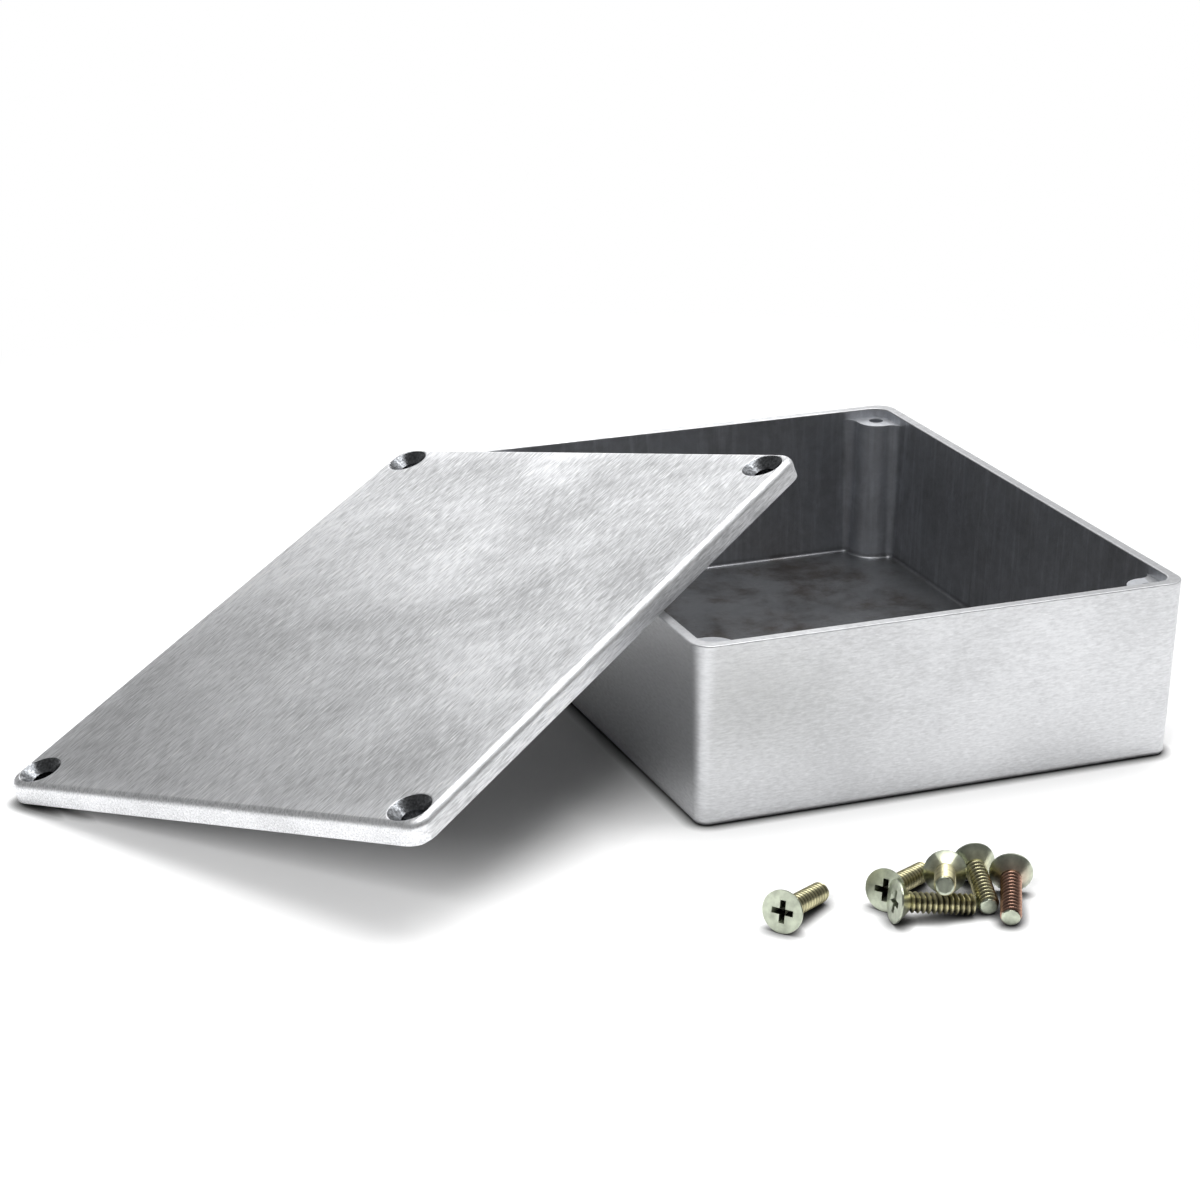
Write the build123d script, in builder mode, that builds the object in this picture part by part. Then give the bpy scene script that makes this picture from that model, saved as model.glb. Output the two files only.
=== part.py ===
from build123d import *
from math import asin, atan2, cos, degrees, hypot, radians, sin, tan
import os

# Die-cast aluminium box with its cover taken off, and the six countersunk screws that close it.
# Frame: origin at the centre of the underside, X along the short side, Y along the long side, Z up.
# The cover leans on the left wall and the screws lie loose in front. Lengths are mm, angles degrees.

# Case, one casting, open at the top
box_width = 94.0
box_length = 119.5
body_height = 33.2
rim_wall = 2.0
floor_thickness = 3.0
outer_draft = 2.2
inner_draft = 2.0
corner_step = 1.4
base_edge_radius = 1.0
rim_inner_radius = 3.0

# Screw posts in the four corners
hole_inset = 5.0
post_radius = 4.0
post_recess = 1.8
post_foot_blend = 1.3
thread_engagement = 0.3
tapped_hole_depth = 12.0

# Cover, one casting
lid_edge = 4.0
lid_plate = 2.2
lid_draft = 2.0
lid_edge_radius = 1.5
lip_clearance = 0.3
lip_width = 1.8
pad_clearance = 0.3
pad_margin = 0.4
pocket_blend = 1.5

# How the cover lies: sloping down to the floor on the left, and turned in its own plane
lid_slope = 18.2
lid_turn = 33.5
lid_shift = -12.0
rest_gap = 0.02

# Screws
screw_length = 13.5
head_radius = 3.55
head_rim = 0.3
head_cone_angle = 90.0
shank_radius = 1.75
shank_clearance = 0.25
head_clearance = 0.25
tip_chamfer = 0.4
recess_reach = 1.9
recess_width = 1.0
recess_depth = 1.6

# Where the screws lie, from the middle of the case's front, with the way that each tip points
lone_x = -49.4
lone_front = 40.5
lone_heading = 37.8
heap_x = -31.2
heap_front = 43.4
heap_gap = 0.05
heading_front = -9.0
heading_behind = 36.0
behind_shift = 0.5
heading_crossing = -118.0
crossing_back = 7.4
heading_middle = -106.0
middle_back = 9.2
heading_last = -118.0
last_back = 3.3

# Sizes that follow from the ones above
outer_inset = body_height * tan(radians(outer_draft))
base_corner_radius = base_edge_radius + corner_step
rim_corner_radius = base_corner_radius + outer_inset
inner_width = box_width - 2 * rim_wall
inner_length = box_length - 2 * rim_wall
post_top = body_height - post_recess
post_inset = post_recess * tan(radians(inner_draft))
core_depth = post_top - floor_thickness
post_blend = post_foot_blend + core_depth * tan(radians(inner_draft))
hole_x = box_width / 2 - hole_inset
hole_y = box_length / 2 - hole_inset
lip_depth = post_recess - pad_clearance
lip_radius = rim_inner_radius - lip_clearance
lip_outline_width = inner_width - 2 * lip_clearance
lip_outline_length = inner_length - 2 * lip_clearance
pocket_depth = lip_depth + lid_edge - lid_plate
cone_depth = (head_radius - shank_radius) / tan(radians(head_cone_angle / 2))


def corner_blocks(radius):
    """Cuts a round-nosed block from each corner of the sketch in hand, centred on the screw hole there."""
    for side_x in (-1, 1):
        for side_y in (-1, 1):
            with Locations((side_x * hole_x, side_y * hole_y)):
                Circle(radius, mode=Mode.SUBTRACT)
            with Locations((side_x * (hole_x + hole_inset / 2), side_y * (hole_y + hole_inset / 2))):
                Rectangle(hole_inset, hole_inset, mode=Mode.SUBTRACT)


def corner_reach(width, length, radius):
    """Gives how far a rounded rectangle reaches down the slope from its centre, when turned as the cover is."""
    turn = radians(lid_turn)
    return (width / 2 - radius) * sin(turn) + (length / 2 - radius) * cos(turn) + radius


def lying(spot, heading, tip_lift=0.0):
    """Gives the location of a screw that lies on its head's rim, with its tip lifted off the floor."""
    reach = screw_length - tip_chamfer - head_rim
    flare = head_radius - shank_radius
    slope = atan2(flare, reach) - asin(tip_lift / hypot(reach, flare))
    height = head_radius * cos(slope) + max(0.0, head_rim * sin(slope))
    return Pos(spot.X, spot.Y, height) * Rot(0, 0, heading) * Rot(0, degrees(slope) - 90, 0)


def room_beside(place, neighbours):
    """Gives the free room between a screw at a place and the nearest of the screws already laid."""
    moved = place * blank.part
    return min(moved.distance_to(other * blank.part) for other in neighbours) - heap_gap


def pushed_up(spot, pull, heading, neighbours, tip_lift=0.0):
    """Slides a lying screw along a direction until only the heap gap is left beside its neighbours."""
    for _ in range(60):
        room = room_beside(lying(spot, heading, tip_lift), neighbours)
        if room < heap_gap / 10:
            break
        spot = spot + pull * room
    return spot


def lowered(spot, heading, neighbours, tip_lift):
    """Lowers the tip of a screw until it rests on its neighbours, and gives the lift that is left."""
    for _ in range(60):
        room = room_beside(lying(spot, heading, tip_lift), neighbours)
        if room < heap_gap / 10 or tip_lift == 0:
            break
        tip_lift = max(tip_lift - room, 0.0)
    return tip_lift


def write_piece(piece, name):
    """Labels one finished piece and writes it to its own file."""
    piece.label = name
    export_step(piece, f"parts/{name}.step")


os.makedirs("parts", exist_ok=True)

# Case: drafted outside, a drafted core that leaves the posts standing, and blind tapped holes
with BuildPart() as box_body:
    with BuildSketch():
        RectangleRounded(box_width - 2 * outer_inset, box_length - 2 * outer_inset, base_corner_radius)
    extrude(amount=body_height, taper=-outer_draft)
    fillet(box_body.edges().group_by(Axis.Z)[0], radius=base_edge_radius)
    with BuildSketch(Plane.XY.offset(body_height)):
        RectangleRounded(inner_width, inner_length, rim_inner_radius)
    extrude(amount=-post_recess, taper=inner_draft, mode=Mode.SUBTRACT)
    with BuildSketch(Plane.XY.offset(post_top)) as core:
        Rectangle(inner_width - 2 * post_inset, inner_length - 2 * post_inset)
        corner_blocks(post_radius)
        fillet(core.vertices(), radius=post_blend)
    extrude(amount=-core_depth, taper=inner_draft, mode=Mode.SUBTRACT)
    with Locations(Plane.XY.offset(post_top)):
        with GridLocations(2 * hole_x, 2 * hole_y, 2, 2):
            Hole(shank_radius - thread_engagement, depth=tapped_hole_depth)
write_piece(box_body.part, "box_body")

# Cover, built flat with the underside of its lip at zero
with BuildPart() as lid:
    with BuildSketch(Plane.XY.offset(lip_depth)):
        RectangleRounded(box_width, box_length, rim_corner_radius)
    extrude(amount=lid_edge, taper=lid_draft)
    fillet(lid.edges().group_by(Axis.Z)[-1], radius=lid_edge_radius)
    with BuildSketch(Plane.XY.offset(lip_depth)):
        RectangleRounded(lip_outline_width, lip_outline_length, lip_radius)
    extrude(amount=-lip_depth, taper=lid_draft)
    with BuildSketch() as pocket:
        Rectangle(lip_outline_width - 2 * lip_width, lip_outline_length - 2 * lip_width)
        corner_blocks(post_radius + pad_margin)
        fillet(pocket.vertices(), radius=pocket_blend)
    extrude(amount=pocket_depth, taper=lid_draft, mode=Mode.SUBTRACT)
    with Locations(Plane.XY.offset(lip_depth + lid_edge)):
        with GridLocations(2 * hole_x, 2 * hole_y, 2, 2):
            CounterSinkHole(shank_radius + shank_clearance, head_radius + head_clearance,
                            counter_sink_angle=head_cone_angle)

# The cover's lowest corner stands on the floor, and its lip rests on the outer edge of the left rim
slope = radians(lid_slope)
lip_drop = corner_reach(lip_outline_width, lip_outline_length, lip_radius) * sin(slope)
seat_drop = corner_reach(box_width, box_length, rim_corner_radius) * sin(slope) - lip_depth * cos(slope)
lid_height = max(lip_drop, seat_drop)
up_slope = (body_height + rest_gap - lid_height) / tan(slope)
lid_place = Pos(-box_width / 2 - up_slope, lid_shift, lid_height) * Rot(0, -lid_slope, 0) * Rot(0, 0, lid_turn - 90)
write_piece(lid_place * lid.part, "lid")

# One screw, head up: countersunk head, shank at its full thread size and a chamfered end
with BuildPart() as blank:
    Cylinder(head_radius, head_rim, align=(Align.CENTER, Align.CENTER, Align.MAX))
    with Locations((0, 0, -head_rim)):
        Cone(shank_radius, head_radius, cone_depth, align=(Align.CENTER, Align.CENTER, Align.MAX))
    Cylinder(shank_radius, screw_length, align=(Align.CENTER, Align.CENTER, Align.MAX))
    chamfer(blank.edges().group_by(Axis.Z)[0], length=tip_chamfer)

# The same screw with its cross recess
with BuildPart() as screw:
    add(blank.part)
    with BuildSketch():
        Rectangle(2 * recess_reach, recess_width)
        Rectangle(recess_width, 2 * recess_reach)
    extrude(amount=-recess_depth, mode=Mode.SUBTRACT)

# The lone screw, then the heap: each screw is pushed up against those laid before it
front = -box_length / 2
heap_spot = Vector(heap_x, front - heap_front)
front_place = lying(heap_spot, heading_front)
behind_start = heap_spot + Vector(behind_shift, 3 * head_radius)
behind_spot = pushed_up(behind_start, Vector(0, -1), heading_behind, [front_place])
behind_place = lying(behind_spot, heading_behind)
crossing_start = heap_spot + Vector(screw_length + 3 * head_radius, crossing_back)
crossing_spot = pushed_up(crossing_start, Vector(-1, 0), heading_crossing, [behind_place], 3 * shank_radius)
crossing_lift = lowered(crossing_spot, heading_crossing, [front_place], 3 * shank_radius)
crossing_place = lying(crossing_spot, heading_crossing, crossing_lift)
middle_start = crossing_spot + Vector(4 * head_radius, middle_back - crossing_back)
middle_spot = pushed_up(middle_start, Vector(-1, 0), heading_middle, [front_place, crossing_place])
middle_place = lying(middle_spot, heading_middle)
last_start = middle_spot + Vector(4 * head_radius, last_back - middle_back)
last_spot = pushed_up(last_start, Vector(-1, 0), heading_last, [middle_place])
last_place = lying(last_spot, heading_last)
lone_place = lying(Vector(lone_x, front - lone_front), lone_heading)
places = [lone_place, front_place, behind_place, crossing_place, middle_place, last_place]
for number, place in enumerate(places, start=1):
    write_piece(place * screw.part, f"screw_{number}")
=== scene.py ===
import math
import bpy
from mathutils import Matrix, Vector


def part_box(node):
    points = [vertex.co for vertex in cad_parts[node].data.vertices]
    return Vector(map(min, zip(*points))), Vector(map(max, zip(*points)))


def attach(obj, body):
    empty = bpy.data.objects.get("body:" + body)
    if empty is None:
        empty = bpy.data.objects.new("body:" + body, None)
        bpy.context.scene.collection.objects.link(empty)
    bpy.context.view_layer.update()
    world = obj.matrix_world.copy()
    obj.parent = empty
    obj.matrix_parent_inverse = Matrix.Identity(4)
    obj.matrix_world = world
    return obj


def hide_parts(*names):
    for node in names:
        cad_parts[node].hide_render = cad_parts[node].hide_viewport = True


bl_info = {
    "name": "Die-cast Box",
    "version": (1, 0, 0),
    "blender": (4, 5, 0),
    "location": "3D View > Sidebar > Die-cast Box",
    "description": "Finishes a die-cast aluminium box, its cover and its loose screws, and lights them",
    "category": "Object",
}

import bmesh
import bpy
from mathutils import Matrix, Vector

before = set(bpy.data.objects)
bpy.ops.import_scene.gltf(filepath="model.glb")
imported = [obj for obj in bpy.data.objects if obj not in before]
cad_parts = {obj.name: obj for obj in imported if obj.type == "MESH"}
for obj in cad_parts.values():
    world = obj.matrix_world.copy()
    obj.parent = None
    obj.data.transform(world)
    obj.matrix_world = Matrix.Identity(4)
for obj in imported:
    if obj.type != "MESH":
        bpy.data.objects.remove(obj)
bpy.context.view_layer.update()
MM = 0.001
PI = math.pi
ROOT2 = math.sqrt(2)
MATH = "ShaderNodeMath"
# places nearer than this are one
NEAR = 0.01 * MM
# faces that bend less than the first are made one; edges that bend more than the second are eased, and more
# than the last two drawn sharp
FLAT_WITHIN, EASED_FROM, SHARP_FROM, SCREW_SHARP_FROM = (math.radians(a) for a in (0.2, 40, 35, 38))
# the screw tree's inputs; each takes its value from the property of the same name
SCREW_INPUTS = ("Head Radius", "Head Rim", "Length", "Thread Radius", "Thread Pitch", "Thread Depth",
                "Tip Chamfer", "Recess Reach", "Recess Width", "Recess Depth")
# the camera's place, and its turn, dip and roll in degrees, fitted to the edges of the case
CAMERA_PLACE = (-0.24196, -0.51050, 0.21812)
CAMERA_TURN = (21.498, 19.766, 0.185)


def linear(code):
    """Turns an sRGB hex value into the linear colour that a socket takes."""
    parts = [int(code[i:i + 2], 16) / 255 for i in (1, 3, 5)]
    return tuple(p / 12.92 if p <= 0.04045 else ((p + 0.055) / 1.055) ** 2.4 for p in parts)


class CastBoxCaseSizes(bpy.types.PropertyGroup):
    """Finish of the case."""
    wall_colour: bpy.props.FloatVectorProperty(
        name="Wall Colour", description="Sanded aluminium of the outside walls",
        subtype="COLOR", size=3, min=0, max=1, default=linear("#D3D4D6"))
    skin_colour: bpy.props.FloatVectorProperty(
        name="Inside Colour", description="Dull casting skin inside the case",
        subtype="COLOR", size=3, min=0, max=1, default=linear("#B4B6BA"))
    stain_colour: bpy.props.FloatVectorProperty(
        name="Stain Colour", description="Brown stains on the casting skin",
        subtype="COLOR", size=3, min=0, max=1, default=linear("#4E4238"))
    edge_ease: bpy.props.FloatProperty(
        name="Edge Ease", description="Rounding left on the rim by sanding",
        subtype="DISTANCE", unit="LENGTH", min=0, default=0.25 * MM)
    post_inset: bpy.props.FloatProperty(
        name="Post Inset", description="Distance of each screw post's middle from the two walls beside it",
        subtype="DISTANCE", unit="LENGTH", min=0, default=5 * MM)
    floor_blend: bpy.props.FloatProperty(
        name="Floor Blend", description="Rounding where the cavity's walls and posts meet its floor",
        subtype="DISTANCE", unit="LENGTH", min=0, default=0.6 * MM)
    grain_width: bpy.props.FloatProperty(
        name="Grain Width", description="Width of one sanding scratch",
        subtype="DISTANCE", unit="LENGTH", min=0.01 * MM, default=0.34 * MM)
    grain_length: bpy.props.FloatProperty(
        name="Grain Length", description="Length of one sanding scratch",
        subtype="DISTANCE", unit="LENGTH", min=0.1 * MM, default=1.4 * MM)


class CastBoxCoverSizes(bpy.types.PropertyGroup):
    """Finish of the cover."""
    top_colour: bpy.props.FloatVectorProperty(
        name="Top Colour", description="Sanded aluminium of the cover",
        subtype="COLOR", size=3, min=0, max=1, default=linear("#E6E7E9"))
    # painted shade: the countersinks are given a dark colour for the shade inside the holes
    hole_colour: bpy.props.FloatVectorProperty(
        name="Hole Colour", description="Cut metal in the countersunk holes, dark as painted shade",
        subtype="COLOR", size=3, min=0, max=1, default=linear("#77797C"))
    hole_inset: bpy.props.FloatProperty(
        name="Hole Inset", description="Distance of each screw hole from the two edges beside it",
        subtype="DISTANCE", unit="LENGTH", min=0, default=5 * MM)
    sink_radius: bpy.props.FloatProperty(
        name="Countersink Radius", description="Half the width of a countersink at its mouth",
        subtype="DISTANCE", unit="LENGTH", min=0, default=3.8 * MM)
    edge_ease: bpy.props.FloatProperty(
        name="Edge Ease", description="Rounding of the cover's lower outer edge",
        subtype="DISTANCE", unit="LENGTH", min=0, default=0.2 * MM)
    grain_width: bpy.props.FloatProperty(
        name="Grain Width", description="Width of one sanding scratch",
        subtype="DISTANCE", unit="LENGTH", min=0.01 * MM, default=0.34 * MM)
    grain_length: bpy.props.FloatProperty(
        name="Grain Length", description="Length of one sanding scratch",
        subtype="DISTANCE", unit="LENGTH", min=0.1 * MM, default=3.5 * MM)


class CastBoxScrewSizes(bpy.types.PropertyGroup):
    """Sizes and plating of the loose screws."""
    head_radius: bpy.props.FloatProperty(
        name="Head Radius", description="Half the width of the countersunk head",
        subtype="DISTANCE", unit="LENGTH", min=MM, default=3.55 * MM)
    head_rim: bpy.props.FloatProperty(
        name="Head Rim", description="Height of the straight rim of the head",
        subtype="DISTANCE", unit="LENGTH", min=0.05 * MM, default=0.3 * MM)
    length: bpy.props.FloatProperty(
        name="Length", description="Overall length with the head",
        subtype="DISTANCE", unit="LENGTH", min=3 * MM, default=13.5 * MM)
    thread_radius: bpy.props.FloatProperty(
        name="Thread Radius", description="Radius over the thread's crests",
        subtype="DISTANCE", unit="LENGTH", min=0.5 * MM, default=1.75 * MM)
    thread_pitch: bpy.props.FloatProperty(
        name="Thread Pitch", description="Distance from one crest to the next",
        subtype="DISTANCE", unit="LENGTH", min=0.2 * MM, default=0.94 * MM)
    thread_depth: bpy.props.FloatProperty(
        name="Thread Depth", description="Depth of the thread below its crests",
        subtype="DISTANCE", unit="LENGTH", min=0.05 * MM, default=0.42 * MM)
    tip_chamfer: bpy.props.FloatProperty(
        name="Tip Chamfer", description="Chamfer at the end of the thread",
        subtype="DISTANCE", unit="LENGTH", min=0, default=0.4 * MM)
    recess_reach: bpy.props.FloatProperty(
        name="Recess Reach", description="Half the span of the cross recess",
        subtype="DISTANCE", unit="LENGTH", min=0.5 * MM, default=1.9 * MM)
    recess_width: bpy.props.FloatProperty(
        name="Recess Width", description="Width of one arm of the cross recess",
        subtype="DISTANCE", unit="LENGTH", min=0.2 * MM, default=1.0 * MM)
    recess_depth: bpy.props.FloatProperty(
        name="Recess Depth", description="Depth of the cross recess",
        subtype="DISTANCE", unit="LENGTH", min=0.2 * MM, default=1.6 * MM)
    head_colour: bpy.props.FloatVectorProperty(
        name="Head Colour", description="Pale green-grey passivation on the heads and tips",
        subtype="COLOR", size=3, min=0, max=1, default=linear("#C4CBB8"))
    thread_colour: bpy.props.FloatVectorProperty(
        name="Thread Colour", description="Straw yellow passivation on the threads",
        subtype="COLOR", size=3, min=0, max=1, default=linear("#DCD6AC"))
    warm_colour: bpy.props.FloatVectorProperty(
        name="Warm Thread Colour", description="Pinkish passivation of one odd screw",
        subtype="COLOR", size=3, min=0, max=1, default=linear("#C39A86"))


class CastBoxStudioSizes(bpy.types.PropertyGroup):
    """Floor, lights and camera."""
    floor_size: bpy.props.FloatProperty(
        name="Floor Size", description="Side of the square floor",
        subtype="DISTANCE", unit="LENGTH", min=1, default=12)
    shadow_reach: bpy.props.FloatProperty(
        name="Shadow Reach", description="How far round the box the floor keeps its shadows",
        subtype="DISTANCE", unit="LENGTH", min=0.1, default=0.2)
    contact_reach: bpy.props.FloatProperty(
        name="Contact Reach", description="How far the dark line at a contact spreads on the paper",
        subtype="DISTANCE", unit="LENGTH", min=0, default=2.5 * MM)
    paper_tone: bpy.props.FloatProperty(
        name="Paper Tone", description="How much light the paper throws back", min=0, default=0.35)
    paper_white: bpy.props.FloatProperty(
        name="Paper White", description="How pale the paper shows to the camera and in the metal",
        min=0, default=0.97)
    room_low: bpy.props.FloatProperty(
        name="Room Light Low", description="Light of the room's darker side, in front on the left",
        min=0, default=0.13)
    room_high: bpy.props.FloatProperty(
        name="Room Light High", description="Light of the room's brighter side, behind on the right",
        min=0, default=0.38)
    key_power: bpy.props.FloatProperty(
        name="Key Power", description="Power of the soft box on the right",
        subtype="POWER", unit="POWER", min=0, default=2.5)
    top_power: bpy.props.FloatProperty(
        name="Top Power", description="Power of the large soft box overhead",
        subtype="POWER", unit="POWER", min=0, default=7)
    front_power: bpy.props.FloatProperty(
        name="Front Power", description="Power of the soft box in front on the left",
        subtype="POWER", unit="POWER", min=0, default=8)
    back_power: bpy.props.FloatProperty(
        name="Back Power", description="Power of the low soft box behind",
        subtype="POWER", unit="POWER", min=0, default=0.5)
    lens: bpy.props.FloatProperty(
        name="Lens", description="Focal length of the camera on a 36 mm sensor", min=10, default=95.0)


def add_node(tree, kind, inputs=(), **settings):
    """Adds one node to a tree, with its settings, and with values, sockets or nodes for its inputs.

    inputs is a dict by the sockets' names, or a list for the first ones in order."""
    node = tree.nodes.new(kind)
    for name, value in settings.items():
        setattr(node, name, value)
    for name, value in (inputs.items() if isinstance(inputs, dict) else enumerate(inputs)):
        if isinstance(value, bpy.types.Node):
            value = value.outputs[0]
        if isinstance(value, bpy.types.NodeSocket):
            tree.links.new(value, node.inputs[name])
        else:
            node.inputs[name].default_value = value
    return node


def new_material(name):
    """Starts a material and gives it with its emptied tree."""
    material = bpy.data.materials.new(name)
    material.use_nodes = True
    material.node_tree.nodes.clear()
    return material, material.node_tree


def sanded_aluminium(name, colour, grain, contrast, turn, along, centre=(0, 0, 0), half=None):
    """Die-cast aluminium sanded on a belt: bright and grey-white, speckled with short fine scratches along
    one way, over broad paler and darker patches.

    grain holds the scratch's size along the pattern's X, Y and Z, and contrast how dark the scratches are.
    turn and centre bring the piece's axes to the pattern's. along is the way of the scratches, for the
    stretch of the highlights. half is half the piece's size, where its border is drawn paler: partly rubbed
    by the belt, partly a painted highlight where the edge starts to round."""
    material, tree = new_material(name)
    place = add_node(tree, "ShaderNodeTexCoord").outputs["Object"]
    turned = add_node(tree, "ShaderNodeMapping", {
        "Vector": place, "Location": centre, "Rotation": turn}, vector_type="TEXTURE")
    # a real scratch is a few hundredths of a millimetre wide, too fine to show, so it is drawn coarser
    strokes = add_node(tree, "ShaderNodeMapping", {"Vector": turned, "Scale": [1 / g for g in grain]})
    fine = add_node(tree, "ShaderNodeTexNoise", {
        "Vector": strokes, "Scale": 1.0, "Detail": 2.0, "Roughness": 0.7})
    # single brighter scratches, of the same size
    nicks = add_node(tree, "ShaderNodeMapping", {
        "Vector": turned, "Location": (3.1, 7.7, 1.3), "Scale": [1 / g for g in grain]})
    nicks = add_node(tree, "ShaderNodeTexNoise", {"Vector": nicks, "Scale": 1.0, "Detail": 1.0})
    nicks = add_node(tree, "ShaderNodeMapRange", {"Value": nicks, "From Min": 0.58, "From Max": 0.7})
    # patches of about 30 mm
    patches = add_node(tree, "ShaderNodeTexNoise", {
        "Vector": turned, "Scale": 34.0, "Detail": 4.0, "Roughness": 0.6})
    mixed = add_node(tree, MATH, [fine, 0.6], operation="MULTIPLY")
    mixed = add_node(tree, MATH, [patches, 0.4, mixed], operation="MULTIPLY_ADD")
    tint = add_node(tree, "ShaderNodeMapRange", {
        "Value": mixed, "From Min": 0.38, "From Max": 0.62,
        "To Min": 1 - contrast, "To Max": 1 + 0.6 * contrast})
    tint = add_node(tree, MATH, [nicks, 0.5 * contrast, tint], operation="MULTIPLY_ADD")
    if half:
        # a border of about 4 mm is drawn paler: partly rubbing by the belt, partly a painted highlight where
        # the edge starts to round
        inset = add_node(tree, "ShaderNodeVectorMath", [turned], operation="ABSOLUTE")
        inset = add_node(tree, "ShaderNodeVectorMath", [half, inset], operation="SUBTRACT")
        inset = add_node(tree, "ShaderNodeSeparateXYZ", [inset]).outputs
        inset = add_node(tree, MATH, [inset["X"], inset["Y"]], operation="MINIMUM")
        rubbed_and_highlit_border = add_node(tree, "ShaderNodeMapRange", {
            "Value": inset, "From Min": 5.5 * MM, "From Max": 2 * MM}, interpolation_type="SMOOTHSTEP")
        tint = add_node(tree, MATH, [rubbed_and_highlit_border, 0.1, tint], operation="MULTIPLY_ADD")
    shade = add_node(tree, "ShaderNodeVectorMath", {0: colour[:3], "Scale": tint}, operation="SCALE")
    gloss = add_node(tree, "ShaderNodeMapRange", {
        "Value": mixed, "From Min": 0.38, "From Max": 0.62, "To Min": 0.5, "To Max": 0.4})
    relief = add_node(tree, "ShaderNodeBump", {"Height": fine, "Strength": 0.3, "Distance": 0.02 * MM})
    surface = add_node(tree, "ShaderNodeBsdfPrincipled", {
        "Base Color": shade, "Metallic": 1.0, "Roughness": gloss, "Anisotropic": 0.4,
        "Normal": relief, "Tangent": along(tree)})
    add_node(tree, "ShaderNodeOutputMaterial", {"Surface": surface})
    return material


def level_way(tree):
    """Gives the level direction along a wall."""
    # a little off upright, so that level faces have a direction too
    facing = add_node(tree, "ShaderNodeNewGeometry").outputs["Normal"]
    return add_node(tree, "ShaderNodeVectorMath", [facing, (0.02, 0.01, 1.0)], operation="CROSS_PRODUCT")


def casting_skin(name, colour, stain, floor_top, post):
    """Die-cast aluminium left as it came from the mould: dull dark mottled grey, with brown stains on the
    floor and fainter ones on the walls, a floor drawn darker as painted shade, and brighter on and round
    the posts, partly drag wear and partly a painted highlight.

    floor_top is the height of the cavity's floor. post is the place of one post's middle in X and Y, and the
    others mirror it."""
    material, tree = new_material(name)
    place = add_node(tree, "ShaderNodeTexCoord").outputs["Object"]
    mottle = add_node(tree, "ShaderNodeTexNoise", {
        "Vector": place, "Scale": 110.0, "Detail": 6.0, "Roughness": 0.7, "Distortion": 0.3})
    # faint upright streaks, about 1.5 mm wide and 25 mm long
    drag = add_node(tree, "ShaderNodeMapping", {"Vector": place, "Scale": (650.0, 650.0, 40.0)})
    drag = add_node(tree, "ShaderNodeTexNoise", {
        "Vector": drag, "Scale": 1.0, "Detail": 3.0, "Roughness": 0.6})
    streak = add_node(tree, "ShaderNodeMapRange", {
        "Value": drag, "From Min": 0.5, "From Max": 0.75, "To Max": 0.3})
    height = add_node(tree, "ShaderNodeSeparateXYZ", [place]).outputs["Z"]
    walls = add_node(tree, "ShaderNodeMapRange", {
        "Value": height, "From Min": floor_top, "From Max": floor_top + 1.2 * MM})
    flat = add_node(tree, "ShaderNodeVectorMath", [place, (1, 1, 0)], operation="MULTIPLY")
    flat = add_node(tree, "ShaderNodeVectorMath", [flat], operation="ABSOLUTE")
    reach = add_node(tree, "ShaderNodeVectorMath", [flat, (*post, 0)], operation="DISTANCE").outputs["Value"]
    # brighter round the posts: partly drag wear, partly a painted highlight of their rounded sides
    post_wear_and_highlight = add_node(tree, "ShaderNodeMapRange", {
        "Value": reach, "From Min": 7 * MM, "From Max": 4.5 * MM}, interpolation_type="SMOOTHSTEP")
    streak = add_node(tree, MATH, [post_wear_and_highlight, 0.45, streak], operation="MULTIPLY_ADD")
    streak = add_node(tree, MATH, [streak, walls], operation="MULTIPLY")
    tone = add_node(tree, "ShaderNodeMapRange", {
        "Value": mottle, "From Min": 0.32, "From Max": 0.68, "To Min": 0.78, "To Max": 1.16})
    tone = add_node(tree, MATH, [tone, streak], operation="ADD")
    # painted shade: the floor at the bottom of the cavity is drawn darker than the walls
    level = add_node(tree, "ShaderNodeMapRange", {"Value": walls, "To Min": 0.6, "To Max": 1.12})
    tone = add_node(tree, MATH, [tone, level], operation="MULTIPLY")
    shade = add_node(tree, "ShaderNodeVectorMath", {0: colour[:3], "Scale": tone}, operation="SCALE")
    # soft ragged stains of about 15 mm
    patch = add_node(tree, "ShaderNodeTexNoise", {
        "Vector": place, "Scale": 66.0, "Detail": 9.0, "Roughness": 0.72, "Distortion": 0.15})
    strength = add_node(tree, "ShaderNodeMapRange", {"Value": walls, "To Min": 0.75, "To Max": 0.2})
    patch = add_node(tree, "ShaderNodeMapRange", {
        "Value": patch, "From Min": 0.42, "From Max": 0.68, "To Max": strength},
        interpolation_type="SMOOTHSTEP")
    shade = add_node(tree, "ShaderNodeMix", {
        "Factor": patch, 6: shade, 7: (*stain[:3], 1.0)}, data_type="RGBA")
    gloss = add_node(tree, "ShaderNodeMapRange", {
        "Value": mottle, "From Min": 0.3, "From Max": 0.7, "To Min": 0.52, "To Max": 0.34})
    relief = add_node(tree, "ShaderNodeBump", {"Height": mottle, "Strength": 0.25, "Distance": 0.1 * MM})
    surface = add_node(tree, "ShaderNodeBsdfPrincipled", {
        "Base Color": shade.outputs[2], "Metallic": 1.0, "Roughness": gloss, "Normal": relief})
    add_node(tree, "ShaderNodeOutputMaterial", {"Surface": surface})
    return material


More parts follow.
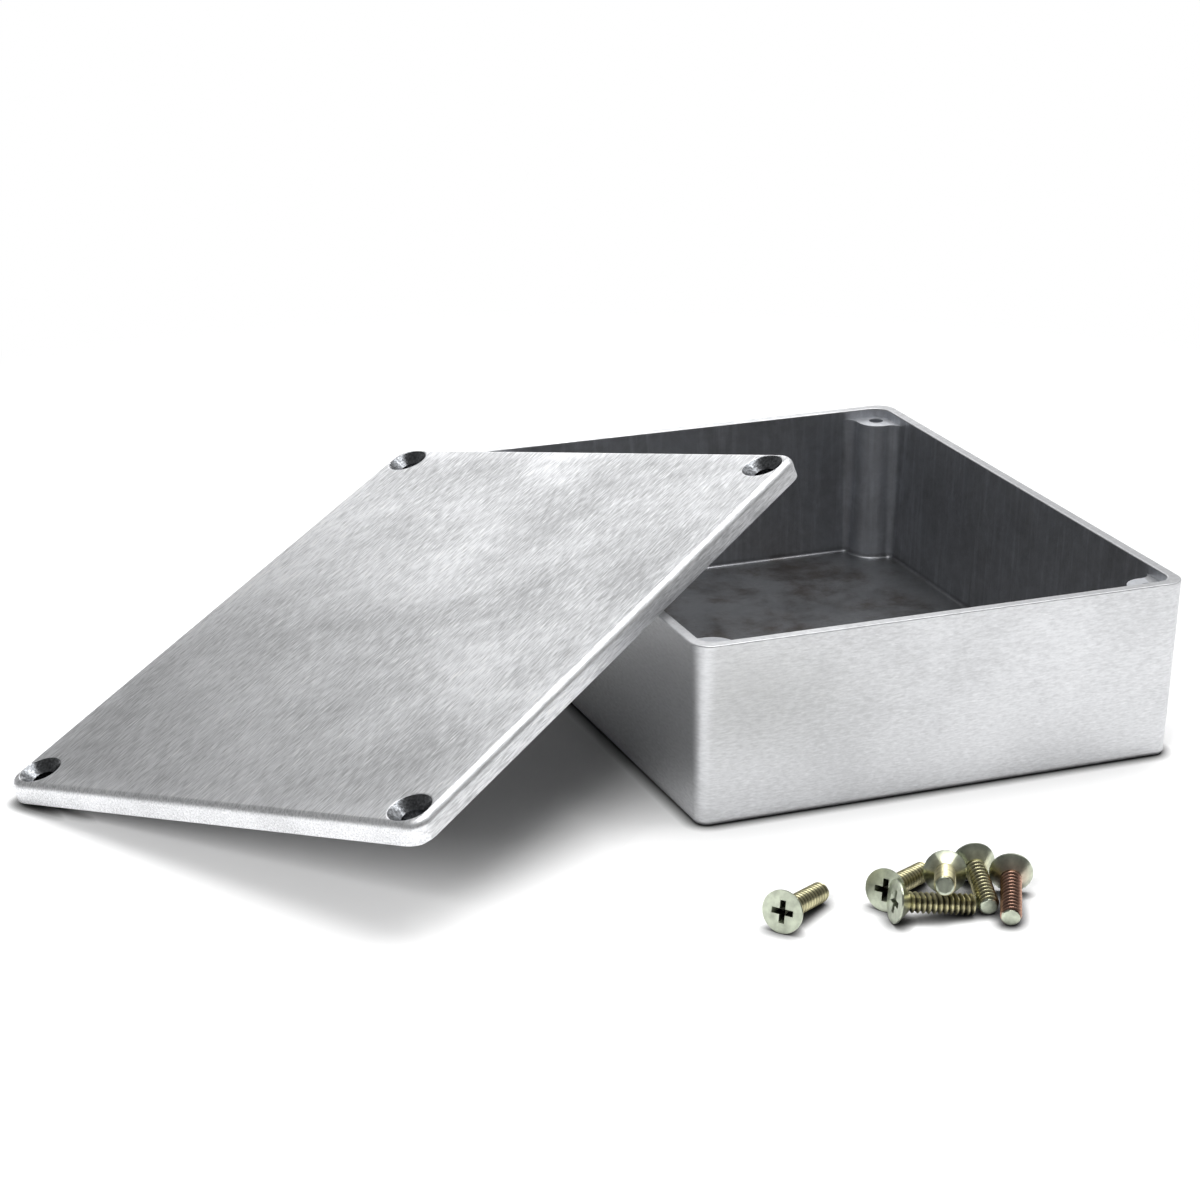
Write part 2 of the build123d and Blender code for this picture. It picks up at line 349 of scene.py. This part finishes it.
def cut_aluminium(name, colour):
    """Aluminium cut by a countersink: shiny, with a dark colour that is painted shade in the hole, in
    blotches.
    """
    material, tree = new_material(name)
    place = add_node(tree, "ShaderNodeTexCoord").outputs["Object"]
    # blotches of about 0.4 mm
    blotch_noise = add_node(tree, "ShaderNodeTexNoise", {"Vector": place, "Scale": 2500.0, "Detail": 2.0})
    tone = add_node(tree, "ShaderNodeMapRange", {
        "Value": blotch_noise, "From Min": 0.3, "From Max": 0.7, "To Min": 0.4, "To Max": 1.5})
    shade = add_node(tree, "ShaderNodeVectorMath", {0: colour[:3], "Scale": tone}, operation="SCALE")
    surface = add_node(tree, "ShaderNodeBsdfPrincipled", {
        "Base Color": shade, "Metallic": 1.0, "Roughness": 0.25})
    add_node(tree, "ShaderNodeOutputMaterial", {"Surface": surface})
    return material


def zinc_plating(name, head, thread, warm):
    """Steel plated with zinc and passivated: a thin yellow to green film, shiny, paler on the head and the
    tip, and painted nearly black deep in the thread and the cross, as painted shade."""
    material, tree = new_material(name)
    on_thread = add_node(tree, "ShaderNodeAttribute", attribute_name="on_thread").outputs["Fac"]
    warmth = add_node(tree, "ShaderNodeAttribute", attribute_name="warmth").outputs["Fac"]
    painted_shade_depth = add_node(tree, "ShaderNodeAttribute", attribute_name="painted_shade_depth").outputs["Fac"]
    yellow = add_node(tree, "ShaderNodeMix", {
        "Factor": warmth, 6: (*thread[:3], 1.0), 7: (*warm[:3], 1.0)}, data_type="RGBA")
    film = add_node(tree, "ShaderNodeMix", {
        "Factor": on_thread, 6: (*head[:3], 1.0), 7: yellow.outputs[2]}, data_type="RGBA")
    place = add_node(tree, "ShaderNodeTexCoord").outputs["Object"]
    # cloudy film, in patches of about 1.5 mm
    cloud = add_node(tree, "ShaderNodeTexNoise", {"Vector": place, "Scale": 700.0, "Detail": 3.0})
    tone = add_node(tree, "ShaderNodeMapRange", {
        "Value": cloud, "From Min": 0.3, "From Max": 0.7, "To Min": 0.7, "To Max": 1.12})
    # painted shade: the film darkens to a tenth deep in the thread's groove and in the cross
    painted_shade = add_node(tree, "ShaderNodeMapRange", {"Value": painted_shade_depth, "To Min": 1.0, "To Max": 0.1})
    tone = add_node(tree, MATH, [tone, painted_shade], operation="MULTIPLY")
    shade = add_node(tree, "ShaderNodeVectorMath", {0: film.outputs[2], "Scale": tone}, operation="SCALE")
    surface = add_node(tree, "ShaderNodeBsdfPrincipled", {
        "Base Color": shade, "Metallic": 1.0, "Roughness": 0.3})
    add_node(tree, "ShaderNodeOutputMaterial", {"Surface": surface})
    return material


def joined_copy(node):
    """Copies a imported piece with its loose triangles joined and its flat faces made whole."""
    work = bmesh.new()
    work.from_mesh(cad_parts[node].data)
    bmesh.ops.remove_doubles(work, verts=work.verts, dist=0.001 * MM)
    bmesh.ops.dissolve_limit(work, angle_limit=FLAT_WITHIN, verts=work.verts, edges=work.edges)
    return work


def ease_edges(work, chosen, width):
    """Rounds the sharp edges that a test picks."""
    sharp = [e for e in work.edges if len(e.link_faces) == 2
             and e.calc_face_angle(0) > EASED_FROM and chosen(e)]
    bmesh.ops.bevel(work, geom=sharp, offset=width, offset_type="OFFSET", segments=3, profile=0.5,
                    affect="EDGES", clamp_overlap=False)


def finished_piece(work, name, materials, slot_name, *nodes):
    """Makes a mesh piece that stands for its CAD nodes, smooth but for its sharp edges."""
    mesh = bpy.data.meshes.new(name)
    work.to_mesh(mesh)
    work.free()
    if "custom_normal" in mesh.attributes:
        mesh.attributes.remove(mesh.attributes["custom_normal"])
    for material in materials:
        mesh.materials.append(material)
    mesh.shade_smooth()
    mesh.set_sharp_from_angle(angle=SHARP_FROM)
    piece = bpy.data.objects.new(name, mesh)
    bpy.context.scene.collection.objects.link(piece)
    flat = piece.modifiers.new("Even faces", "WEIGHTED_NORMAL")
    flat.keep_sharp = True
    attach(piece, "root")
    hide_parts(*nodes)
    return piece


class CASTBOX_OT_case(bpy.types.Operator):
    """Finishes the case: sanded outside and rim, casting skin inside"""
    bl_idname = "castbox.case"
    bl_label = "Finish Case"

    def execute(self, context):
        sizes = context.scene.castbox_case
        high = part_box("box_body")[1]
        floor_top = 3 * MM
        outside = sanded_aluminium(
            "Sanded die-cast aluminium, case", sizes.wall_colour,
            (sizes.grain_length, sizes.grain_length, sizes.grain_width),
            contrast=0.12, turn=(0, 0, 0), along=level_way)
        post = (high.x - sizes.post_inset, high.y - sizes.post_inset)
        inside = casting_skin(
            "As-cast aluminium skin", sizes.skin_colour, sizes.stain_colour, floor_top, post)
        work = joined_copy("box_body")
        ease_edges(work, lambda e: min(v.co.z for v in e.verts) > high.z - NEAR, sizes.edge_ease)
        ease_edges(work, lambda e: all(abs(v.co.z - floor_top) < NEAR for v in e.verts), sizes.floor_blend)
        # how far in from the sides, the rim and the underside a face can still be an outside one
        wall_reach, rim_reach, base_reach = 3.2 * MM, 0.3 * MM, 1.5 * MM
        for face in work.faces:
            middle = face.calc_center_median()
            # the outside is what faces away from the middle near the walls, with the rim and the underside
            outward = face.normal.x * middle.x + face.normal.y * middle.y > 0
            by_wall = abs(middle.x) > high.x - wall_reach or abs(middle.y) > high.y - wall_reach
            level = middle.z > high.z - rim_reach or middle.z < base_reach
            face.material_index = int(not (level or (outward and by_wall)))
        finished_piece(work, "case", [outside, inside], "case", "box_body")
        return {"FINISHED"}


class CASTBOX_OT_cover(bpy.types.Operator):
    """Finishes the cover: sanded along its long side, with eased edges"""
    bl_idname = "castbox.cover"
    bl_label = "Finish Cover"

    def execute(self, context):
        sizes = context.scene.castbox_cover
        work = joined_copy("lid")
        top = max((f for f in work.faces if f.normal.z > 0.5), key=lambda f: f.calc_area())
        side = max(top.edges, key=lambda e: e.calc_length())
        along = (side.verts[1].co - side.verts[0].co).normalized()
        top_way = top.normal.copy()
        to_cover = Matrix((along.cross(top_way).normalized(), along, top_way))
        turn = tuple(to_cover.transposed().to_euler())
        spots = [to_cover @ v.co for v in work.verts]
        low = Vector([min(s[i] for s in spots) for i in range(3)])
        high = Vector([max(s[i] for s in spots) for i in range(3)])
        material = sanded_aluminium(
            "Sanded die-cast aluminium, cover", sizes.top_colour,
            (sizes.grain_width, sizes.grain_length, sizes.grain_width), contrast=0.34, turn=turn,
            along=lambda tree: add_node(tree, "ShaderNodeCombineXYZ", list(along)),
            centre=to_cover.transposed() @ ((low + high) / 2), half=(high - low) / 2)
        edge_reach = 0.6 * MM

        def outer(edge):
            """Tells the cover's outer lower edge and the mouths of its countersinks from its other edges."""
            middle = to_cover @ ((edge.verts[0].co + edge.verts[1].co) / 2)
            inset = min(middle.x - low.x, high.x - middle.x, middle.y - low.y, high.y - middle.y)
            return inset < edge_reach or middle.z > high.z - NEAR

        ease_edges(work, outer, sizes.edge_ease)
        # painted shade: the countersinks take the dark hole colour for the shade inside them
        cut = cut_aluminium("Machined aluminium, oily countersinks", sizes.hole_colour)
        for face in work.faces:
            middle = to_cover @ face.calc_center_median()
            spot = [min(middle[i] - low[i], high[i] - middle[i]) - sizes.hole_inset for i in (0, 1)]
            # not level with the top, to within 18 degrees
            upright = abs(face.normal.dot(top_way)) < 0.95
            face.material_index = int(upright and math.hypot(*spot) < sizes.sink_radius)
        finished_piece(work, "cover", [material, cut], "cover", "lid")
        return {"FINISHED"}


def screw_tree(sizes, material):
    """Builds the nodes that make one screw and set it at each point of the mesh they are given."""
    tree = bpy.data.node_groups.new("Countersunk screw", "GeometryNodeTree")
    tree.is_modifier = True
    sockets = tree.interface
    sockets.new_socket("Geometry", in_out="INPUT", socket_type="NodeSocketGeometry")
    sockets.new_socket("Geometry", in_out="OUTPUT", socket_type="NodeSocketGeometry")
    for name in SCREW_INPUTS:
        sockets.new_socket(name, in_out="INPUT", socket_type="NodeSocketFloat")
    given = tree.nodes.new("NodeGroupInput").outputs

    # shank: a sheet whose rows climb one pitch a turn, rolled round the axis; it has spare turns at both
    # ends, where it closes to the axis in a flat disc
    columns, rows_per_turn, spare_turns = 41, 8.0, 2.0
    turns = add_node(tree, MATH, [given["Length"], given["Thread Pitch"]], operation="DIVIDE")
    turns = add_node(tree, MATH, [turns], operation="CEIL")
    turns = add_node(tree, MATH, [turns, 2 * spare_turns], operation="ADD")
    rows = add_node(tree, MATH, [turns, rows_per_turn, 1.0], operation="MULTIPLY_ADD")
    sheet = add_node(tree, "GeometryNodeMeshGrid", {
        "Size X": 1.0, "Size Y": 1.0, "Vertices X": columns, "Vertices Y": rows})
    spot = add_node(tree, "ShaderNodeSeparateXYZ", [add_node(tree, "GeometryNodeInputPosition")]).outputs
    around = add_node(tree, MATH, [spot["X"], 0.5], operation="ADD")
    climb = add_node(tree, MATH, [spot["Y"], 0.5], operation="ADD")
    climb = add_node(tree, MATH, [climb, turns, around], operation="MULTIPLY_ADD")
    climb = add_node(tree, MATH, [climb, spare_turns], operation="SUBTRACT")
    low = add_node(tree, MATH, [given["Length"], -1.0], operation="MULTIPLY")
    height = add_node(tree, MATH, [climb, given["Thread Pitch"], low], operation="MULTIPLY_ADD")
    # its top is hidden in the head
    top = add_node(tree, MATH, [given["Head Rim"], -1.5], operation="MULTIPLY")
    held = add_node(tree, MATH, [height, low], operation="MAXIMUM")
    held = add_node(tree, MATH, [held, top], operation="MINIMUM")
    past_end = add_node(tree, MATH, [height, held], operation="SUBTRACT")
    past_end = add_node(tree, MATH, [past_end], operation="ABSOLUTE")
    past_end = add_node(tree, MATH, [past_end, given["Thread Pitch"]], operation="DIVIDE")
    # trapezoid thread: flat crest, straight flank, flat root, straight flank, as shares of the pitch; whole
    # turns are added to keep the phase above zero
    half_flat, whole_turns = 0.0625, 100
    phase = add_node(tree, MATH, [held, given["Thread Pitch"]], operation="DIVIDE")
    phase = add_node(tree, MATH, [phase, around], operation="SUBTRACT")
    phase = add_node(tree, MATH, [phase, whole_turns + half_flat], operation="ADD")
    phase = add_node(tree, MATH, [phase], operation="FRACT")
    slant = add_node(tree, MATH, [phase, 0.5 + half_flat], operation="SUBTRACT")
    slant = add_node(tree, MATH, [slant], operation="ABSOLUTE")
    crest = add_node(tree, "ShaderNodeMapRange", {
        "Value": slant, "From Min": half_flat, "From Max": 0.5 - half_flat})
    root = add_node(tree, MATH, [given["Thread Radius"], given["Thread Depth"]], operation="SUBTRACT")
    ridge = add_node(tree, MATH, [crest, given["Thread Depth"], root], operation="MULTIPLY_ADD")
    # the tip's chamfer cuts the thread down
    bevelled = add_node(tree, MATH, [given["Thread Radius"], given["Tip Chamfer"]], operation="SUBTRACT")
    above_tip = add_node(tree, MATH, [held, low], operation="SUBTRACT")
    bevelled = add_node(tree, MATH, [bevelled, above_tip], operation="ADD")
    ridge = add_node(tree, MATH, [ridge, bevelled], operation="MINIMUM")
    closed = add_node(tree, "ShaderNodeMapRange", {"Value": past_end, "To Min": 1.0, "To Max": 0.0})
    radius = add_node(tree, MATH, [ridge, closed], operation="MULTIPLY")
    angle = add_node(tree, MATH, [around, 2 * PI], operation="MULTIPLY")
    across, beside = (
        add_node(tree, MATH, [radius, add_node(tree, MATH, [angle], operation=wave)], operation="MULTIPLY")
        for wave in ("COSINE", "SINE"))
    rolled = add_node(tree, "ShaderNodeCombineXYZ", [across, beside, held])
    shank = add_node(tree, "GeometryNodeSetPosition", {"Geometry": sheet.outputs["Mesh"], "Position": rolled})
    shank = add_node(tree, "GeometryNodeMergeByDistance", {"Geometry": shank, "Distance": 0.002 * MM})

    # head: a cone up to a straight rim
    sides = 64
    cone = add_node(tree, MATH, [given["Head Radius"], given["Thread Radius"]], operation="SUBTRACT")
    flare = add_node(tree, "GeometryNodeMeshCone", {
        "Vertices": sides, "Radius Top": given["Head Radius"], "Radius Bottom": given["Thread Radius"],
        "Depth": cone})
    drop = add_node(tree, MATH, [cone, given["Head Rim"]], operation="ADD")
    drop = add_node(tree, MATH, [drop, -1.0], operation="MULTIPLY")
    drop = add_node(tree, "ShaderNodeCombineXYZ", {"Z": drop})
    flare = add_node(tree, "GeometryNodeTransform", {"Geometry": flare, "Translation": drop})
    rim = add_node(tree, "GeometryNodeMeshCylinder", {
        "Vertices": sides, "Radius": given["Head Radius"], "Depth": given["Head Rim"]})
    drop = add_node(tree, MATH, [given["Head Rim"], -0.5], operation="MULTIPLY")
    drop = add_node(tree, "ShaderNodeCombineXYZ", {"Z": drop})
    rim = add_node(tree, "GeometryNodeTransform", {"Geometry": rim, "Translation": drop})
    whole = add_node(tree, "GeometryNodeMeshBoolean", operation="UNION", solver="EXACT")
    for part in (shank, flare, rim):
        tree.links.new(part.outputs[0], whole.inputs["Mesh 2"])

    # cross recess: two four-sided pits that narrow downwards to a share of their width
    narrowed = 0.55
    cross = add_node(
        tree, "GeometryNodeMeshBoolean", {"Mesh 1": whole}, operation="DIFFERENCE", solver="EXACT")
    half_width = add_node(tree, MATH, [given["Recess Width"], 0.5], operation="MULTIPLY")
    size = add_node(tree, "ShaderNodeCombineXYZ", [given["Recess Reach"], half_width, given["Recess Depth"]])
    for quarter in (0, 1):
        pit = add_node(tree, "GeometryNodeMeshCone", {
            "Vertices": 4, "Radius Top": ROOT2, "Radius Bottom": narrowed * ROOT2, "Depth": 1.0})
        pit = add_node(tree, "GeometryNodeTransform", {
            "Geometry": pit, "Translation": (0, 0, -1.0), "Rotation": (0, 0, PI / 4)})
        pit = add_node(tree, "GeometryNodeTransform", {
            "Geometry": pit, "Rotation": (0, 0, quarter * PI / 2), "Scale": size})
        tree.links.new(pit.outputs[0], cross.inputs["Mesh 2"])

    # the film is straw yellow from under the head to just short of the tip
    spot = add_node(tree, "ShaderNodeSeparateXYZ", [add_node(tree, "GeometryNodeInputPosition")]).outputs
    start = add_node(tree, MATH, [given["Head Radius"], -0.4], operation="MULTIPLY")
    full = add_node(tree, MATH, [given["Head Radius"], -0.75], operation="MULTIPLY")
    below = add_node(tree, "ShaderNodeMapRange", {"Value": spot["Z"], "From Min": start, "From Max": full})
    tip = add_node(tree, MATH, [given["Tip Chamfer"], 0.5, low], operation="MULTIPLY_ADD")
    above = add_node(tree, MATH, [spot["Z"], tip], operation="GREATER_THAN")
    on_thread = add_node(tree, MATH, [below, above], operation="MULTIPLY")
    marked = add_node(tree, "GeometryNodeStoreNamedAttribute", {
        "Geometry": cross, "Name": "on_thread", "Value": on_thread})

    # how deep a point lies in the thread's groove or in the cross, taken a little wider and deeper than it
    # is;
    # the film is darkened there as painted shade
    margin = 1.05
    flat = add_node(tree, "ShaderNodeCombineXYZ", [spot["X"], spot["Y"]])
    reach = add_node(tree, "ShaderNodeVectorMath", [flat], operation="LENGTH").outputs["Value"]
    groove = add_node(tree, "ShaderNodeMapRange", {
        "Value": reach, "From Min": given["Thread Radius"], "From Max": root})
    groove = add_node(tree, MATH, [groove, on_thread], operation="MULTIPLY")
    bottom = add_node(tree, MATH, [given["Recess Depth"], -1.0], operation="MULTIPLY")
    pit = add_node(tree, "ShaderNodeMapRange", {"Value": spot["Z"], "From Max": bottom})
    inside = add_node(tree, MATH, [given["Recess Reach"], margin], operation="MULTIPLY")
    inside = add_node(tree, MATH, [reach, inside], operation="LESS_THAN")
    above = add_node(tree, MATH, [bottom, margin], operation="MULTIPLY")
    above = add_node(tree, MATH, [spot["Z"], above], operation="GREATER_THAN")
    inside = add_node(tree, MATH, [inside, above], operation="MULTIPLY")
    pit = add_node(tree, MATH, [pit, inside], operation="MULTIPLY")
    painted_shade_depth = add_node(tree, MATH, [groove, pit], operation="MAXIMUM")
    marked = add_node(tree, "GeometryNodeStoreNamedAttribute", {
        "Geometry": marked, "Name": "painted_shade_depth", "Value": painted_shade_depth})

    # one screw at each point, its head along one attribute and an arm of its cross along another
    facing = add_node(tree, "GeometryNodeInputNamedAttribute", {"Name": "facing"}, data_type="FLOAT_VECTOR")
    arm = add_node(tree, "GeometryNodeInputNamedAttribute", {"Name": "arm"}, data_type="FLOAT_VECTOR")
    turn = add_node(tree, "FunctionNodeAxesToRotation", [facing, arm], primary_axis="Z", secondary_axis="X")
    laid = add_node(tree, "GeometryNodeInstanceOnPoints", {
        "Points": given["Geometry"], "Instance": marked, "Rotation": turn})
    real = add_node(tree, "GeometryNodeRealizeInstances", {"Geometry": laid})
    smooth = add_node(tree, "GeometryNodeSetShadeSmooth", {"Geometry": real, "Shade Smooth": True})
    plated = add_node(tree, "GeometryNodeSetMaterial", {"Geometry": smooth, "Material": material})
    add_node(tree, "NodeGroupOutput", {"Geometry": plated})
    return tree


def screw_place(node):
    """Reads where a packed screw lies: the middle of its head's face, the way that faces, and the way of one
    arm of its cross."""
    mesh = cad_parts[node].data
    ends = {}
    for face in mesh.polygons:
        key = tuple(round(c, 2) for c in face.normal)
        ends.setdefault(key, []).append(face)
    head = max(ends.values(), key=lambda faces: sum(f.area for f in faces))
    facing = sum((f.normal * f.area for f in head), Vector()).normalized()
    points = [mesh.vertices[i].co for f in head for i in f.vertices]
    reach = max(p.dot(facing) for p in points)
    rim = [p for p in points if abs(p.dot(facing) - reach) < NEAR]
    low = Vector([min(p[i] for p in rim) for i in range(3)])
    high = Vector([max(p[i] for p in rim) for i in range(3)])
    # one arm of the cross lies level, the other points up the head
    arm = Vector((0, 0, 1)).cross(facing).normalized()
    return (low + high) / 2, facing, arm


class CASTBOX_OT_screws(bpy.types.Operator):
    """Makes the six loose screws with their thread and cross recess"""
    bl_idname = "castbox.screws"
    bl_label = "Make Screws"

    def execute(self, context):
        sizes = context.scene.castbox_screws
        nodes = sorted(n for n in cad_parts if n.startswith("screw_"))
        places = [screw_place(n) for n in nodes]
        material = zinc_plating("Zinc-plated steel, yellow passivated", sizes.head_colour,
                                sizes.thread_colour, sizes.warm_colour)
        mesh = bpy.data.meshes.new("screw places")
        mesh.from_pydata([p[0] for p in places], [], [])
        for name, column in (("facing", 1), ("arm", 2)):
            values = mesh.attributes.new(name, "FLOAT_VECTOR", "POINT")
            values.data.foreach_set("vector", [c for p in places for c in p[column]])
        warmth = mesh.attributes.new("warmth", "FLOAT", "POINT")
        warmth.data[len(nodes) - 1].value = 1.0
        seed = bpy.data.objects.new("screw places", mesh)
        context.scene.collection.objects.link(seed)
        tree = screw_tree(sizes, material)
        made = seed.modifiers.new("Screws", "NODES")
        made.node_group = tree
        for item in tree.interface.items_tree:
            if item.in_out == "INPUT" and item.name in SCREW_INPUTS:
                made[item.identifier] = getattr(sizes, item.name.lower().replace(" ", "_"))
        context.view_layer.update()
        seen = seed.evaluated_get(context.evaluated_depsgraph_get())
        result = bpy.data.meshes.new_from_object(seen)
        bpy.data.objects.remove(seed)
        result.set_sharp_from_angle(angle=SCREW_SHARP_FROM)
        piece = bpy.data.objects.new("screws", result)
        context.scene.collection.objects.link(piece)
        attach(piece, "root")
        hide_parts(*nodes)
        return {"FINISHED"}


class CASTBOX_OT_studio(bpy.types.Operator):
    """Sets the floor, the soft light and the camera"""
    bl_idname = "castbox.studio"
    bl_label = "Set Studio"

    def execute(self, context):
        sizes = context.scene.castbox_studio
        scene = context.scene
        scene.view_settings.view_transform = "Standard"

        # pale matt paper; what the camera and the metal see of it is white, with the object's shadows near it
        paper, tree = new_material("White paper sweep")
        ray = add_node(tree, "ShaderNodeLightPath").outputs
        # light that has already been scattered once finds the paper's own tone, which keeps the shadows deep
        first = add_node(tree, MATH, [ray["Diffuse Depth"], 0.5], operation="LESS_THAN")
        seen = add_node(tree, MATH, [ray["Is Glossy Ray"], ray["Is Transmission Ray"]], operation="ADD")
        seen = add_node(tree, MATH, [seen, first, ray["Is Camera Ray"]], operation="MULTIPLY_ADD")
        white = add_node(tree, "ShaderNodeMapRange", {
            "Value": seen, "To Min": sizes.paper_tone, "To Max": sizes.paper_white})
        # painted contact shadow: ambient occlusion darkens the paper's colour in a thin line where something
        # touches it
        painted_contact_shadow = add_node(tree, "ShaderNodeAmbientOcclusion", {"Distance": sizes.contact_reach}).outputs["AO"]
        painted_contact_shadow = add_node(tree, MATH, [painted_contact_shadow, 2.0], operation="POWER")
        white = add_node(tree, MATH, [white, painted_contact_shadow], operation="MULTIPLY")
        matt = add_node(tree, "ShaderNodeBsdfDiffuse", {"Color": white})
        glow = add_node(tree, "ShaderNodeEmission", {"Strength": seen})
        place = add_node(tree, "ShaderNodeTexCoord").outputs["Object"]
        shadow_middle, fade = (-0.04, -0.03, 0), 1.6
        reach = add_node(tree, "ShaderNodeVectorMath", [place, shadow_middle], operation="DISTANCE")
        far = add_node(tree, "ShaderNodeMapRange", {
            "Value": reach.outputs["Value"], "From Min": sizes.shadow_reach,
            "From Max": fade * sizes.shadow_reach}, interpolation_type="SMOOTHSTEP")
        both = add_node(tree, "ShaderNodeMixShader", [far, matt, glow])
        add_node(tree, "ShaderNodeOutputMaterial", {"Surface": both})
        # the paper lies a hair below the pieces, so that no two faces share a place
        half, low = sizes.floor_size / 2, -0.05 * MM
        mesh = bpy.data.meshes.new("floor")
        mesh.from_pydata([(x * half, y * half, low) for x, y in ((-1, -1), (1, -1), (1, 1), (-1, 1))],
                         [], [(0, 1, 2, 3)])
        mesh.materials.append(paper)
        floor = bpy.data.objects.new("floor", mesh)
        scene.collection.objects.link(floor)

        world = bpy.data.worlds.new("Soft room")
        scene.world = world
        world.use_nodes = True
        tree = world.node_tree
        tree.nodes.clear()
        way = add_node(tree, "ShaderNodeTexCoord").outputs["Generated"]
        bright_side = (0.5, 0.7, 0.51)
        way = add_node(tree, "ShaderNodeVectorMath", [way, bright_side], operation="DOT_PRODUCT")
        light = add_node(tree, "ShaderNodeMapRange", {
            "Value": way.outputs["Value"], "From Min": -0.3, "From Max": 0.9,
            "To Min": sizes.room_low, "To Max": sizes.room_high})
        sky = add_node(tree, "ShaderNodeBackground", {"Color": (1.0, 1.0, 1.0, 1.0), "Strength": light})
        add_node(tree, "ShaderNodeOutputWorld", {"Surface": sky})

        for name, place, aim, side, power in (
                ("key", (0.55, 0.15, 0.8), (0, 0, 0), 0.9, sizes.key_power),
                ("top", (0.1, 0.0, 1.05), (0, 0, 0), 0.7, sizes.top_power),
                ("front", (-0.7, -0.6, 0.55), (0, 0, 0), 0.5, sizes.front_power),
                ("back", (0.1, 0.5, 0.2), (0, 0, 0.03), 0.3, sizes.back_power)):
            light = bpy.data.lights.new(name, "AREA")
            light.shape = "SQUARE"
            light.size = side
            light.energy = power
            lamp = bpy.data.objects.new(name, light)
            turn = (Vector(place) - Vector(aim)).to_track_quat("Z", "Y").to_matrix().to_4x4()
            lamp.matrix_world = Matrix.Translation(place) @ turn
            # the front box only fills the paper's shadows; in the bare metal it would show as a glare
            lamp.visible_glossy = name != "front"
            scene.collection.objects.link(lamp)

        yaw, pitch, roll = (math.radians(a) for a in CAMERA_TURN)
        ahead = Vector((math.sin(yaw) * math.cos(pitch), math.cos(yaw) * math.cos(pitch), -math.sin(pitch)))
        right = Vector((math.cos(yaw), -math.sin(yaw), 0))
        up = right.cross(ahead)
        right, up = (math.cos(roll) * right + math.sin(roll) * up,
                     -math.sin(roll) * right + math.cos(roll) * up)
        data = bpy.data.cameras.new("camera")
        data.lens = sizes.lens
        data.sensor_width = 36
        data.clip_start = 0.01
        camera = bpy.data.objects.new("camera", data)
        camera.matrix_world = Matrix.Translation(CAMERA_PLACE) @ Matrix(
            (right, up, -ahead)).transposed().to_4x4()
        scene.collection.objects.link(camera)
        scene.camera = camera
        return {"FINISHED"}


class CASTBOX_PT_panel(bpy.types.Panel):
    """Lists the pieces of the die-cast box"""
    bl_idname = "CASTBOX_PT_panel"
    bl_label = "Die-cast Box"
    bl_space_type = "VIEW_3D"
    bl_region_type = "UI"
    bl_category = "Die-cast Box"

    def draw(self, context):
        for operator, group in ((CASTBOX_OT_case, "castbox_case"), (CASTBOX_OT_cover, "castbox_cover"),
                                (CASTBOX_OT_screws, "castbox_screws"), (CASTBOX_OT_studio, "castbox_studio")):
            part = self.layout.box()
            part.operator(operator.bl_idname)
            sizes = getattr(context.scene, group)
            for name in sizes.__annotations__:
                part.prop(sizes, name)


GROUPS = {"castbox_case": CastBoxCaseSizes, "castbox_cover": CastBoxCoverSizes,
          "castbox_screws": CastBoxScrewSizes, "castbox_studio": CastBoxStudioSizes}
OTHERS = (CASTBOX_OT_case, CASTBOX_OT_cover, CASTBOX_OT_screws, CASTBOX_OT_studio, CASTBOX_PT_panel)


def register():
    for name, group in GROUPS.items():
        bpy.utils.register_class(group)
        setattr(bpy.types.Scene, name, bpy.props.PointerProperty(type=group))
    for other in OTHERS:
        bpy.utils.register_class(other)


def unregister():
    for other in reversed(OTHERS):
        bpy.utils.unregister_class(other)
    for name, group in GROUPS.items():
        delattr(bpy.types.Scene, name)
        bpy.utils.unregister_class(group)


def main():
    register()
    bpy.ops.castbox.case()
    bpy.ops.castbox.cover()
    bpy.ops.castbox.screws()
    bpy.ops.castbox.studio()


if __name__ == "__main__":
    main()
